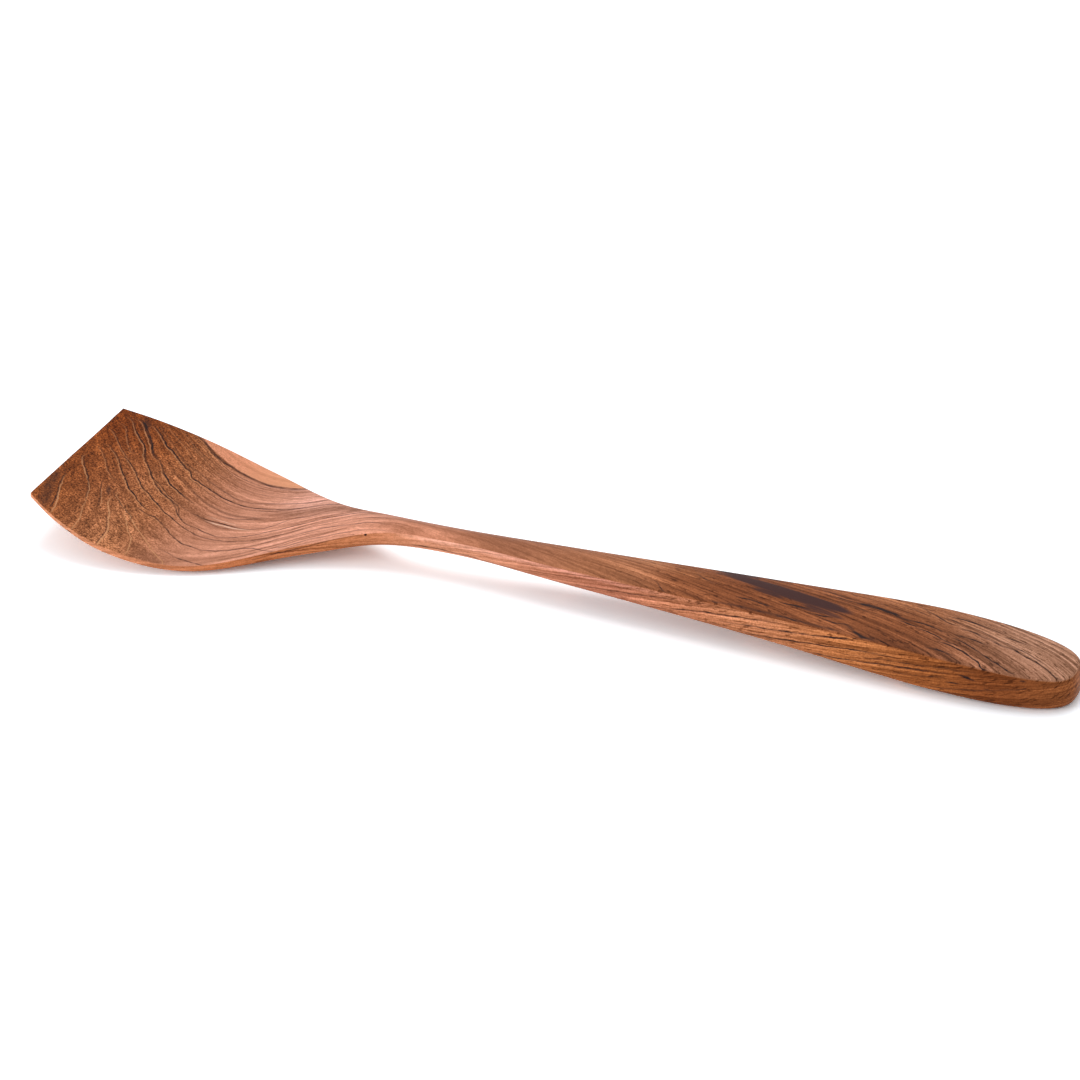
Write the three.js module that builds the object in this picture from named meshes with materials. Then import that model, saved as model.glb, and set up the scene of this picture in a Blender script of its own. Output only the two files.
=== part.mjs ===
// A wooden wok spatula, carved from one piece of hardwood.
//
// The blade is a broad thin plate with a straight front edge. It sweeps up from its belly to the front lip
// and runs back through a slender arched neck into a flat-topped handle that widens to a rounded end.
// Units are millimetres, +Z is up and the spatula lies on the plane Z = 0, as it does on a table, on the belly
// of the blade and the underside of the handle's end. +X runs from the blade to the handle.

import * as THREE from "three";
import { mergeVertices } from "three/addons/utils/BufferGeometryUtils.js";

// Overall length, from the front edge of the blade to the end of the handle.
const LENGTH = 350;

// Stations along the length, measured from the front edge.
const BLADE_CORNER_AT = 10.2;
const BLADE_WIDEST_AT = 29.3;
const BELLY_AT = 57;
const SHOULDER_AT = 91;
const THROAT_AT = 114;
const NECK_AT = 139;

// Stations of the handle, measured from its end.
const SHANK_FROM_END = 171;
const GRIP_FROM_END = 99;
const ROUND_END_LENGTH = 45;

// Width across the upper edges at each station.
const FRONT_EDGE_WIDTH = 66.6;
const BLADE_CORNER_WIDTH = 75;
const BLADE_WIDTH = 80.8;
const BELLY_WIDTH = 70.3;
const SHOULDER_WIDTH = 31;
const THROAT_WIDTH = 13;
const NECK_WIDTH = 9.6;
const SHANK_WIDTH = 14.8;
const GRIP_WIDTH = 23.8;
const HANDLE_WIDTH = 30.3;

// Height of the upper edge, the arris between the top and the side, above the table.
const FRONT_LIP_HEIGHT = 18.5;
const BLADE_CORNER_HEIGHT = 14.3;
const BLADE_EDGE_HEIGHT = 8.1;
const BELLY_EDGE_HEIGHT = 3.5;
const SHOULDER_EDGE_HEIGHT = 8.3;
const THROAT_EDGE_HEIGHT = 13.3;
const NECK_EDGE_HEIGHT = 14.3;
const SHANK_EDGE_HEIGHT = 14.1;
const GRIP_EDGE_HEIGHT = 14.3;
const HANDLE_EDGE_HEIGHT = 13.7;
const END_EDGE_HEIGHT = 10.4;

// Thickness of the side, from the upper edge down to the lower one.
const FRONT_EDGE_THICKNESS = 1.8;
const BLADE_EDGE_THICKNESS = 2.2;
const SHOULDER_THICKNESS = 4;
const THROAT_THICKNESS = 5.5;
const SHANK_THICKNESS = 6.4;
const GRIP_THICKNESS = 10;
const HANDLE_THICKNESS = 13;
const END_THICKNESS = 12;

// How far the side bows out between its edges.
const NECK_BOW = 0.2;
const GRIP_BOW = 0.6;
const HANDLE_BOW = 1.3;
const END_BOW = 1.5;

// How far the top is hollowed in the blade, and how far it is crowned from the neck to the handle.
const BLADE_DISH = 0.8;
const NECK_CROWN = 1;
const HANDLE_CROWN = 1.2;

// How far the underside swells below the lower edges, at its middle.
const BLADE_KEEL = 0.8;
const BELLY_KEEL = 1.6;
const NECK_KEEL = 1.3;
const GRIP_KEEL = 0.7;
const HANDLE_KEEL = 0.3;

// Radius of the softened edges.
const BLADE_EDGE_ROUND = 0.5;
const SHOULDER_UNDER_ROUND = 1;
const NECK_TOP_ROUND = 0.6;
const NECK_UNDER_ROUND = 1.8;
const HANDLE_TOP_ROUND = 0.7;
const HANDLE_UNDER_ROUND = 2.4;
const END_TOP_ROUND = 0.9;
const END_UNDER_ROUND = 3.8;

// How blunt the end of the handle is in plan: 2 is an ellipse, more is squarer.
const END_BLUNTNESS = 3;

// The largest share of a side's thickness that one rounded edge may take.
const ROUND_SHARE = 0.45;

// Divisions of the surface.
const STATION_STEP = 4;
const END_STEPS = 14;
const FACE_STEPS = 7;
const ROUND_STEPS = 3;
const SIDE_STEPS = 3;
const MERGE_DISTANCE = 1e-4;

// The wood's colour, roughness and metalness.
const WOOD_COLOUR = 0x9e6649;
const WOOD_ROUGHNESS = 0.5;
const WOOD_METALNESS = 0;

// The rounded end starts here, and its upper edge stops short of the full length, because the side bows out.
const roundEndAt = LENGTH - ROUND_END_LENGTH;
const edgeEndsAt = LENGTH - END_BOW;

// The sections that shape the spatula. crown is negative where the top is hollow.
const stations = [
  {
    at: 0,
    width: FRONT_EDGE_WIDTH,
    edge: FRONT_LIP_HEIGHT,
    side: FRONT_EDGE_THICKNESS,
    bow: 0,
    crown: 0,
    keel: 0,
    topRound: BLADE_EDGE_ROUND,
    underRound: BLADE_EDGE_ROUND,
  },
  {
    at: BLADE_CORNER_AT,
    width: BLADE_CORNER_WIDTH,
    edge: BLADE_CORNER_HEIGHT,
    side: FRONT_EDGE_THICKNESS,
    bow: 0,
    crown: -BLADE_DISH / 4,
    keel: BLADE_KEEL / 2,
    topRound: BLADE_EDGE_ROUND,
    underRound: BLADE_EDGE_ROUND,
  },
  {
    at: BLADE_WIDEST_AT,
    width: BLADE_WIDTH,
    edge: BLADE_EDGE_HEIGHT,
    side: BLADE_EDGE_THICKNESS,
    bow: 0,
    crown: -BLADE_DISH / 2,
    keel: BLADE_KEEL,
    topRound: BLADE_EDGE_ROUND,
    underRound: BLADE_EDGE_ROUND,
  },
  {
    at: BELLY_AT,
    width: BELLY_WIDTH,
    edge: BELLY_EDGE_HEIGHT,
    side: BLADE_EDGE_THICKNESS,
    bow: 0,
    crown: -BLADE_DISH,
    keel: BELLY_KEEL,
    topRound: BLADE_EDGE_ROUND,
    underRound: BLADE_EDGE_ROUND,
  },
  {
    at: SHOULDER_AT,
    width: SHOULDER_WIDTH,
    edge: SHOULDER_EDGE_HEIGHT,
    side: SHOULDER_THICKNESS,
    bow: 0,
    crown: 0,
    keel: BELLY_KEEL,
    topRound: BLADE_EDGE_ROUND,
    underRound: SHOULDER_UNDER_ROUND,
  },
  {
    at: THROAT_AT,
    width: THROAT_WIDTH,
    edge: THROAT_EDGE_HEIGHT,
    side: THROAT_THICKNESS,
    bow: NECK_BOW,
    crown: NECK_CROWN,
    keel: NECK_KEEL,
    topRound: NECK_TOP_ROUND,
    underRound: NECK_UNDER_ROUND,
  },
  {
    at: NECK_AT,
    width: NECK_WIDTH,
    edge: NECK_EDGE_HEIGHT,
    side: THROAT_THICKNESS,
    bow: NECK_BOW,
    crown: NECK_CROWN,
    keel: NECK_KEEL,
    topRound: NECK_TOP_ROUND,
    underRound: NECK_UNDER_ROUND,
  },
  {
    at: LENGTH - SHANK_FROM_END,
    width: SHANK_WIDTH,
    edge: SHANK_EDGE_HEIGHT,
    side: SHANK_THICKNESS,
    bow: NECK_BOW,
    crown: NECK_CROWN,
    keel: NECK_KEEL,
    topRound: NECK_TOP_ROUND,
    underRound: NECK_UNDER_ROUND,
  },
  {
    at: LENGTH - GRIP_FROM_END,
    width: GRIP_WIDTH,
    edge: GRIP_EDGE_HEIGHT,
    side: GRIP_THICKNESS,
    bow: GRIP_BOW,
    crown: HANDLE_CROWN,
    keel: GRIP_KEEL,
    topRound: HANDLE_TOP_ROUND,
    underRound: HANDLE_UNDER_ROUND,
  },
  {
    at: roundEndAt,
    width: HANDLE_WIDTH,
    edge: HANDLE_EDGE_HEIGHT,
    side: HANDLE_THICKNESS,
    bow: HANDLE_BOW,
    crown: HANDLE_CROWN,
    keel: HANDLE_KEEL,
    topRound: HANDLE_TOP_ROUND,
    underRound: HANDLE_UNDER_ROUND,
  },
  {
    at: edgeEndsAt,
    width: HANDLE_WIDTH,
    edge: END_EDGE_HEIGHT,
    side: END_THICKNESS,
    bow: END_BOW,
    crown: HANDLE_CROWN,
    keel: HANDLE_KEEL,
    topRound: END_TOP_ROUND,
    underRound: END_UNDER_ROUND,
  },
];

// Smooth curves through the stations: sectionAt(x) gives every size of the section at x.
const fields = Object.keys(stations[0]).slice(1);
const curves = new THREE.CubicInterpolant(
  stations.map((station) => station.at),
  stations.flatMap((station) => fields.map((field) => station[field])),
  fields.length,
  new Float64Array(fields.length),
);

function sectionAt(x) {
  const values = curves.evaluate(THREE.MathUtils.clamp(x, 0, edgeEndsAt));
  const section = Object.fromEntries(fields.map((field, i) => [field, values[i]]));
  const mostRound = ROUND_SHARE * section.side;
  section.topRound = Math.min(section.topRound, mostRound);
  section.underRound = Math.min(section.underRound, mostRound);
  return section;
}

// Points on the edge of the plan, each with the point of the middle line that its half section starts from.
// They run from the front corner to the end of the handle on the +Y side.
function planEdge() {
  const edge = [];
  const steps = Math.round(roundEndAt / STATION_STEP);
  for (let i = 0; i < steps; i++) {
    const x = (roundEndAt * i) / steps;
    edge.push({ x, y: sectionAt(x).width / 2, middle: x });
  }
  const radius = HANDLE_WIDTH / 2;
  for (let i = 0; i <= END_STEPS; i++) {
    const angle = (Math.PI / 2) * (i / END_STEPS);
    const along = Math.sin(angle) ** (2 / END_BLUNTNESS);
    const across = i === END_STEPS ? 0 : Math.cos(angle) ** (2 / END_BLUNTNESS);
    edge.push({
      x: roundEndAt + (edgeEndsAt - roundEndAt) * along,
      y: radius * across,
      middle: roundEndAt + (edgeEndsAt - roundEndAt - radius) * along,
    });
  }
  return edge;
}

// The half section at one point of the plan's edge, from the middle of the top, over the rounded edges and
// down the side, to the middle of the underside. The table planes the underside flat where it touches.
function halfSection({ x, y, middle }) {
  const reach = Math.hypot(x - middle, y);
  const { side, bow, topRound, underRound } = sectionAt(x);
  const points = [];
  const add = (inset, heightIn) => {
    const share = 1 - inset / reach;
    const px = middle + (x - middle) * share;
    points.push(new THREE.Vector3(px, y * share, Math.max(0, heightIn(sectionAt(px)))));
  };
  const addSide = (inset, drop) => {
    const down = drop / side;
    add(inset - 4 * bow * down * (1 - down), (s) => s.edge - drop);
  };
  for (let i = 0; i < FACE_STEPS; i++) {
    const out = i / FACE_STEPS;
    add(reach - (reach - topRound) * out, (s) => s.edge + s.crown * (1 - out * out));
  }
  for (let i = 0; i <= ROUND_STEPS; i++) {
    const turn = (Math.PI / 2) * (i / ROUND_STEPS);
    addSide(topRound * (1 - Math.sin(turn)), topRound * (1 - Math.cos(turn)));
  }
  for (let i = 1; i < SIDE_STEPS; i++) {
    addSide(0, topRound + (side - topRound - underRound) * (i / SIDE_STEPS));
  }
  for (let i = 0; i <= ROUND_STEPS; i++) {
    const turn = (Math.PI / 2) * (i / ROUND_STEPS);
    addSide(underRound * (1 - Math.cos(turn)), side - underRound * (1 - Math.sin(turn)));
  }
  for (let i = 1; i <= FACE_STEPS; i++) {
    const out = 1 - i / FACE_STEPS;
    add(reach - (reach - underRound) * out, (s) => s.edge - s.side - s.keel * (1 - out * out));
  }
  return points;
}

// Sweeps the half section round the plan, from one front corner past the handle's end to the other,
// and closes the front edge.
function carvedBody() {
  const oneSide = planEdge().map(halfSection);
  const otherSide = oneSide
    .slice(0, -1)
    .map((section) => section.map((p) => new THREE.Vector3(p.x, -p.y, p.z)));
  const sections = [...oneSide, ...otherSide.reverse()];
  const rows = sections[0].length;
  const indices = [];
  for (let i = 0; i + 1 < sections.length; i++) {
    for (let j = 0; j + 1 < rows; j++) {
      const a = i * rows + j;
      const b = a + rows;
      indices.push(a, b, b + 1, a, b + 1, a + 1);
    }
  }
  const first = sections[0].map((_, j) => j);
  const last = first.map((j) => j + (sections.length - 1) * rows);
  const rim = [...first, ...last.slice(1, -1).reverse()];
  const points = sections.flat();
  const outline = rim.map((i) => new THREE.Vector2(points[i].y, points[i].z));
  for (const [a, b, c] of THREE.ShapeUtils.triangulateShape(outline, [])) {
    indices.push(rim[a], rim[c], rim[b]);
  }
  const geometry = new THREE.BufferGeometry().setFromPoints(points);
  geometry.setIndex(indices);
  return mergeVertices(geometry, MERGE_DISTANCE);
}

const wood = new THREE.MeshStandardMaterial({
  color: WOOD_COLOUR,
  roughness: WOOD_ROUGHNESS,
  metalness: WOOD_METALNESS,
});

const body = new THREE.Mesh(carvedBody(), wood);
body.name = "spatula_body";
body.position.x = -LENGTH / 2;

const spatula = new THREE.Group();
spatula.add(body);

export default spatula;
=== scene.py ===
"""A carved wooden wok spatula on a white table, in the frame of the CAD part. Units are metres."""

import math
from types import SimpleNamespace

import bmesh
import bpy
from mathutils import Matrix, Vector


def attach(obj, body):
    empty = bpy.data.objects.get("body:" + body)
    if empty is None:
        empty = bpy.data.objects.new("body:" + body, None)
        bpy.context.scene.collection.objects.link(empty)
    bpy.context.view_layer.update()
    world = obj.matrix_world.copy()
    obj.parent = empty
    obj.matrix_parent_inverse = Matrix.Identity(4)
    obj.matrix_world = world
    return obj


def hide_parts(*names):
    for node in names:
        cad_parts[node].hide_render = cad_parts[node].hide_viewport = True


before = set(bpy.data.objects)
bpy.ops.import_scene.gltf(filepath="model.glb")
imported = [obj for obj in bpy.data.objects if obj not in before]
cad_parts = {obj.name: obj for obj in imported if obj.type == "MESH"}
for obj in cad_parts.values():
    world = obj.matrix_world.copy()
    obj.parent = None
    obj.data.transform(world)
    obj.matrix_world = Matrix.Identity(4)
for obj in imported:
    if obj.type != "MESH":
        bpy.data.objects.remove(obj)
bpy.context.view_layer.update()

MM = 0.001

# The camera looks at TARGET from AZIMUTH degrees round and ELEVATION degrees up.
# LENS and SENSOR are in millimetres.
TARGET = Vector((-0.01083, 0.01239, 0.01104))
AZIMUTH = 21.869
ELEVATION = 29.289
DISTANCE = 1.1834
CAMERA_REACH = 20
LENS = 120
SENSOR = 36

# The lamps: name, place, size, and power in watts. The room lights the object evenly from all round.
LAMPS = [
    ("left_low", (-0.60, -0.55, 0.15), 0.35, 4.6),
    ("over_back", (-0.05, 0.28, 0.80), 0.6, 3.0),
]
ROOM_LIGHT = 0.57

# The table: half its width, its grey for the light that it throws back, and the colour and glow with
# which it is seen, which take it to white in the picture.
TABLE_HALF_WIDTH = 4.0
TABLE_GREY = 0.85
TABLE_SEEN_COLOUR = (1.36, 1.43, 1.49)
TABLE_GLOW = 0.04

# How the CAD triangles become quads: points this close are one, and faces join up to these angles,
# in degrees.
WELD = 1e-6
JOIN_FACE_ANGLE = 40
JOIN_SHAPE_ANGLE = 60

# How sharp the front edge stays when the surface is subdivided, and how many times it is.
FRONT_CREASE = 0.85
SUBDIVISIONS = 2

# All lengths from here on are in millimetres.

# Growth rings run round a gently bent pith that lies well above the near side of the spatula.
# Each line gives a constant, a share of x and a share of x squared.
PITH_Y = (-82.4, -0.2245, 0.000693)
PITH_Z = (123.6, -0.0009, 0.000676)

# How far the rings swing off that round shape along x, and the range that the swing keeps to.
GRAIN_SWING = [
    (-178, 0.1), (-170, 0.0), (-155, -0.4), (-142, -0.6), (-130, -0.4), (-120, -0.3), (-110, -0.6),
    (-96, -1.2), (-82, -0.5), (-70, -0.95), (-58, -1.7), (-20, -0.8), (30, 0.0),
]
SWING_LOW = -2.0
SWING_HIGH = 0.5

# The dark growth lines on the blade: half thickness, then (x, y, darkness) along each.
BLADE_LINES = [
    (0.70, [(-149, 39.5, 0.5), (-143, 35.5, 0.7), (-137, 32, 0.75), (-131, 30, 0.65),
            (-118, 26.5, 0.6), (-110, 25.5, 0.65), (-103, 25.5, 0.5)]),
    (0.22, [(-152, 38.5, 0.2), (-140, 31, 0.4), (-128, 25.5, 0.35), (-112, 23, 0.25)]),
    (0.27, [(-150, 38.5, 0.2), (-135, 29.5, 0.45), (-120, 25, 0.4), (-104, 24.5, 0.35)]),
    (0.24, [(-158, 39.5, 0.1), (-148, 33.5, 0.4), (-132, 25.5, 0.35), (-115, 21.5, 0.2)]),
    (0.24, [(-150, 33, 0.3), (-138, 26, 0.35), (-124, 20.5, 0.3), (-105, 19.5, 0.2)]),
    (0.21, [(-158, 35.5, 0.3), (-146, 27.5, 0.35), (-134, 21.5, 0.3), (-118, 17.5, 0.2)]),
    (0.51, [(-160, 33.5, 0.2), (-148, 24, 0.35), (-138, 19.5, 0.38), (-125, 14.5, 0.5),
            (-118, 13, 0.5), (-112, 14, 0.5), (-105, 15, 0.45), (-95, 16, 0.4), (-90, 17.5, 0.3)]),
    (0.43, [(-162, 32.5, 0.6), (-155.5, 27, 0.95), (-152, 25, 1.0), (-145.5, 20.5, 1.0),
            (-142.5, 19, 0.95), (-140.5, 16, 0.95), (-137, 15, 0.9), (-129, 12.5, 0.85),
            (-120, 10.5, 0.75), (-110, 10.5, 0.65), (-100, 11.5, 0.6), (-90, 14, 0.6),
            (-85, 15, 0.5)]),
    (0.24, [(-141, 15, 0.4), (-132, 11.5, 0.5), (-122, 9, 0.4), (-108, 9, 0.35), (-95, 12, 0.3)]),
    (0.75, [(-146, 14.5, 0.2), (-135, 8, 0.35), (-122, 3.5, 0.35), (-108, 4, 0.25)]),
    (0.60, [(-126, 1.5, 0.2), (-120, 1, 0.35), (-115, 1.5, 0.4), (-110, 3, 0.3)]),
    (0.63, [(-167, 32, 0.7), (-164.5, 29.5, 1.0), (-161, 25.5, 0.9), (-159, 23, 0.9),
            (-156, 18.5, 0.6)]),
    (0.36, [(-170, 30, 0.5), (-167, 26.5, 0.8), (-164, 23.5, 0.9), (-161, 21, 0.95),
            (-159.5, 19, 0.9), (-158.5, 16.5, 0.8), (-157, 14, 0.75), (-152.5, 9, 0.85),
            (-149, 5, 0.8), (-145, 1.5, 0.8), (-139, -1, 0.7), (-136, -3, 0.5), (-133, -8, 0.5)]),
    (0.22, [(-149, 6, 0.5), (-143, 2, 0.75), (-140, 0.5, 0.6), (-133, -2.5, 0.3)]),
    (0.43, [(-153, 17, 0.4), (-150, 13, 0.65), (-145.5, 8.5, 0.95), (-141, 6, 0.95),
            (-138, 4.5, 0.7), (-134, 3, 0.3)]),
    (0.42, [(-129, -3, 0.7), (-127, -3.5, 1.0), (-122, -3.5, 1.0), (-118, -3.5, 1.0),
            (-115, -4, 0.6), (-110, -4.5, 0.4), (-106, -3.5, 0.5), (-103.5, -2.5, 0.55),
            (-100, 1, 0.45), (-97, 4, 0.35), (-91, 6, 0.4), (-87, 8, 0.3)]),
    (0.29, [(-128, -4, 0.3), (-120, -6, 0.5), (-115, -5.5, 0.45), (-111, -5, 0.3)]),
    (0.36, [(-141, -0.5, 0.4), (-138, -2.5, 0.5), (-135.5, -5.5, 0.6), (-131, -9.5, 0.6),
            (-125, -10.5, 0.6), (-121, -11.5, 0.7), (-116, -12, 0.7), (-108, -9.5, 0.65),
            (-103, -6.5, 0.6), (-96, -2.5, 0.55), (-87, 3, 0.6), (-78, 6.5, 0.6), (-70, 8, 0.45)]),
    (0.33, [(-161, 9, 0.7), (-155, 4, 0.8), (-151.5, 0, 0.85), (-146, -3.5, 0.85),
            (-140, -7.5, 0.9), (-134, -10.5, 0.75), (-125, -14, 0.55), (-116, -14.5, 0.55),
            (-104.5, -12.5, 0.55), (-98.5, -9.5, 0.5), (-92, -5, 0.45), (-86, -0.5, 0.4),
            (-82, 1.5, 0.3)]),
    (0.33, [(-168, 10.5, 0.5), (-162, 5, 0.85), (-155, -3, 0.9), (-150, -7, 0.9),
            (-145, -10.5, 0.6)]),
    (0.41, [(-146, -12.5, 0.4), (-142, -13.5, 0.6), (-139, -13.5, 0.75), (-132, -18, 0.6),
            (-126, -21.5, 0.7), (-122, -22, 0.75), (-117, -22.5, 0.7), (-108, -20, 0.6),
            (-103, -18, 0.6), (-98, -19, 0.55), (-92, -20.5, 0.4)]),
    (0.43, [(-103, -16.5, 0.2), (-96, -11.5, 0.4), (-90, -8, 0.5), (-84, -4, 0.5), (-80, -2.5, 0.6),
            (-75, -2, 0.55), (-70, -1.5, 0.5), (-66, -1, 0.4), (-60, -2, 0.2)]),
    (0.30, [(-170, 7, 0.4), (-165, 1.5, 0.55), (-161, -3, 0.4)]),
    (0.30, [(-172, 19, 0.4), (-168, 15.5, 0.6), (-162, 10.5, 0.4)]),
    (0.30, [(-170, 25, 0.4), (-168, 22, 0.6), (-163, 15, 0.4)]),
    (0.41, [(-128, -29.5, 0.4), (-123, -31, 0.6), (-119, -31.5, 0.65), (-113, -32.5, 0.5)]),
    (0.42, [(-93, -17.5, 0.4), (-88.5, -15.5, 0.5), (-84, -11.5, 0.45), (-78, -9, 0.45),
            (-70, -6.5, 0.45), (-65, -5.5, 0.35), (-58, -5, 0.15)]),
]
# Painted highlights on the lips of the crack in the middle of the blade, given in the same way.
CRACK_HIGHLIGHTS = [
    (0.22, [(-124, -1.5, 0.4), (-119, -2, 0.6), (-115, -2.5, 0.3)]),
    (0.26, [(-123, -4.5, 0.6), (-118, -4.7, 1.0), (-113, -5, 0.8), (-109, -5, 0.3)]),
]
# The dark line under the edge of the blade's near side: half thickness, then (x, height, darkness).
BLADE_SIDE_LINES = [
    (0.28, [(-98, 4.4, 0.3), (-93, 5.5, 0.6), (-88, 6.6, 0.6), (-82, 8.0, 0.55), (-76, 9.8, 0.5),
            (-70, 11.2, 0.45), (-66, 11.8, 0.3)]),
]
# The pale and dark lines of the blade's near front, where the rings lie along the surface:
# half thickness, then (y, x, strength).
NEAR_PALE_LINES = [
    (0.27, [(-39, -157, 0.5), (-36, -157.3, 0.6), (-31, -158, 0.6), (-27, -159.5, 0.45),
            (-21, -161, 0.4), (-15, -163, 0.6), (-12.5, -164.5, 0.7), (-9.5, -167, 0.7),
            (-6, -170, 0.6), (-2.5, -172, 0.4)]),
    (0.30, [(-35, -166, 0.6), (-31, -166.8, 0.75), (-27.5, -168, 0.8), (-24, -169.3, 0.7),
            (-20, -170.5, 0.5), (-17, -171.5, 0.3)]),
    (0.22, [(-19.5, -156.3, 0.4), (-16, -158, 0.5), (-13, -159.5, 0.4)]),
    (0.32, [(-40, -147, 0.8), (-36, -147.3, 0.8), (-31.5, -147.8, 0.75), (-28.5, -149, 0.7),
            (-25.5, -150.5, 0.7), (-23, -151.5, 0.85), (-20.5, -153, 0.9), (-18, -154.5, 0.7),
            (-15, -155.5, 0.4)]),
    (0.26, [(-36.5, -125, 0.5), (-34.5, -127.5, 0.6), (-31, -132, 0.6), (-28.5, -134.5, 0.65),
            (-24, -140, 0.7), (-22, -142.5, 0.75), (-19.5, -145.2, 0.8), (-17.5, -147, 0.7),
            (-15.5, -150, 0.65), (-13.5, -152.5, 0.5), (-11, -155, 0.4)]),
    (0.26, [(-38, -137.5, 0.6), (-34, -138.5, 0.65), (-31, -139.5, 0.7), (-29, -140.5, 0.7),
            (-27, -142.5, 0.65), (-24, -144.5, 0.6), (-21.5, -146, 0.6), (-19, -148, 0.5)]),
]
NEAR_DARK_LINES = [
    (0.32, [(-20, -144.9, 0.4), (-18, -146.5, 0.7), (-15.5, -150.2, 0.75), (-13, -153.3, 0.7),
            (-11, -156, 0.5)]),
    (0.32, [(-33, -167.4, 0.5), (-30, -168, 0.7), (-26, -169, 0.75), (-22, -170.5, 0.7),
            (-18, -171.5, 0.6), (-14, -172.5, 0.5), (-10, -175.3, 0.4)]),
    (0.30, [(-19, -162, 0.5), (-15, -163.5, 0.6), (-12, -164.8, 0.7), (-8, -167.6, 0.7),
            (-3, -171.4, 0.5)]),
    (0.30, [(-20, -156.9, 0.5), (-19, -157.4, 0.6), (-14, -159.4, 0.7), (-9, -161.4, 0.5)]),
    (0.26, [(-40, -147.6, 0.4), (-36, -147.9, 0.5), (-31.5, -148.4, 0.5), (-28.5, -149.6, 0.5),
            (-25.5, -151.1, 0.5), (-23, -152.1, 0.4)]),
    (2.40, [(-34, -170.3, 0.45), (-30, -171, 0.5), (-22, -173.2, 0.5), (-16, -174.5, 0.4)]),
]
# The dark lines of the handle's top: half thickness, then (x, y, darkness).
HANDLE_LINES = [
    (0.30, [(36, -5.2, 0.3), (38.5, -7.5, 0.4), (40.5, -9.3, 0.4)]),
    (0.50, [(47.5, 3.2, 0.3), (50, 1.5, 0.4), (53.5, -0.2, 0.3)]),
    (0.42, [(65.5, -5.3, 0.5), (70, -5.8, 0.8), (74, -6.8, 0.6)]),
    (0.42, [(79, -4, 0.5), (82.5, -4, 0.8), (86.5, -4.1, 0.6)]),
    (0.40, [(90, -6.5, 0.5), (92.5, -6.7, 0.9), (95, -6.4, 0.5)]),
    (0.35, [(94, -8.3, 0.4), (97, -8.8, 0.6), (100, -8.5, 0.4)]),
    (0.35, [(81.5, -10.6, 0.4), (84, -11.3, 0.6), (86, -11.5, 0.3)]),
    (0.60, [(57, -9.6, 0.3), (70, -9.9, 0.35), (85, -11, 0.35), (98, -12.2, 0.35)]),
    (0.35, [(90, 8.8, 0.4), (93, 7.8, 0.6), (96.5, 6.7, 0.4)]),
    (0.40, [(94, 6, 0.5), (97.5, 5.3, 0.6), (101, 5, 0.4)]),
    (0.40, [(96, 3.5, 0.3), (101, 2.2, 0.4), (106, 0.6, 0.3)]),
    (0.80, [(101, -9, 0.3), (104, -10.8, 0.4), (107, -12.8, 0.9), (110, -13.2, 0.5)]),
    (0.85, [(102.5, 4.8, 0.8), (106, 4.5, 1.0), (110, 3.6, 1.0), (114, 2.4, 0.8), (117, 0.8, 0.4)]),
    (0.45, [(116, -0.6, 0.3), (119.5, -1.5, 0.7), (122, -1.8, 0.4)]),
    (0.40, [(119.5, 0.8, 0.5), (124, 0.4, 0.8), (128, -0.6, 0.6), (130, -1.2, 0.3)]),
    (0.42, [(123.5, -3, 0.5), (126.5, -3.7, 0.7), (129.5, -4.7, 0.6), (132.5, -6, 0.6),
            (135.5, -6.7, 0.4)]),
    (0.42, [(132, -7.3, 0.5), (136, -8.2, 0.8), (139.5, -9.4, 0.8), (142.5, -11.2, 0.7),
            (145, -12.5, 0.8), (146.5, -14.5, 0.7)]),
    (0.50, [(129.5, -11.4, 0.4), (132.5, -11.4, 0.6), (135.5, -12, 0.4)]),
    (0.38, [(135, -3.7, 0.7), (138.5, -4.8, 0.9), (141, -6, 0.6), (144.5, -7.8, 0.6),
            (148, -9.5, 0.7), (151, -10.8, 0.7), (155, -12.7, 0.6)]),
    (0.45, [(136.5, -1.4, 0.5), (139.5, -1.6, 0.8), (142, -2, 0.8), (144, -2.5, 0.3)]),
    (0.45, [(131, 9.2, 0.4), (134, 9.1, 0.7), (138, 8.7, 0.7), (142, 7.8, 0.4), (146, 6.8, 0.4)]),
    (0.42, [(149.5, 4.6, 0.4), (152.5, 4.4, 0.7), (155.5, 3.9, 0.4)]),
    (0.45, [(119, 11, 0.3), (122.5, 9.4, 0.4), (126, 7.3, 0.6), (129.5, 5.2, 0.5),
            (133, 4.4, 0.3)]),
    (0.40, [(117, 9, 0.3), (120, 7.8, 0.5), (123, 6.7, 0.3)]),
    (0.40, [(129.5, 7.2, 0.5), (132.5, 6.7, 0.6), (136, 5.3, 0.3)]),
    (0.60, [(136, 3, 0.4), (139, 2.6, 0.5), (142, 1.5, 0.5), (146, 0.5, 0.4), (150, -1, 0.4)]),
    (0.35, [(139, 5, 0.4), (143, 3.8, 0.5), (147, 2.2, 0.4), (151, 1, 0.4), (155, -0.5, 0.3)]),
    (0.32, [(155, -0.6, 0.3), (159, -1.9, 0.5), (163, -3.8, 0.4)]),
    (0.38, [(152.5, -1, 0.4), (156, -2.6, 0.7), (159.5, -3.8, 0.7), (163, -5.1, 0.6),
            (166, -6.8, 0.6), (168.5, -8.5, 0.4)]),
]
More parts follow.
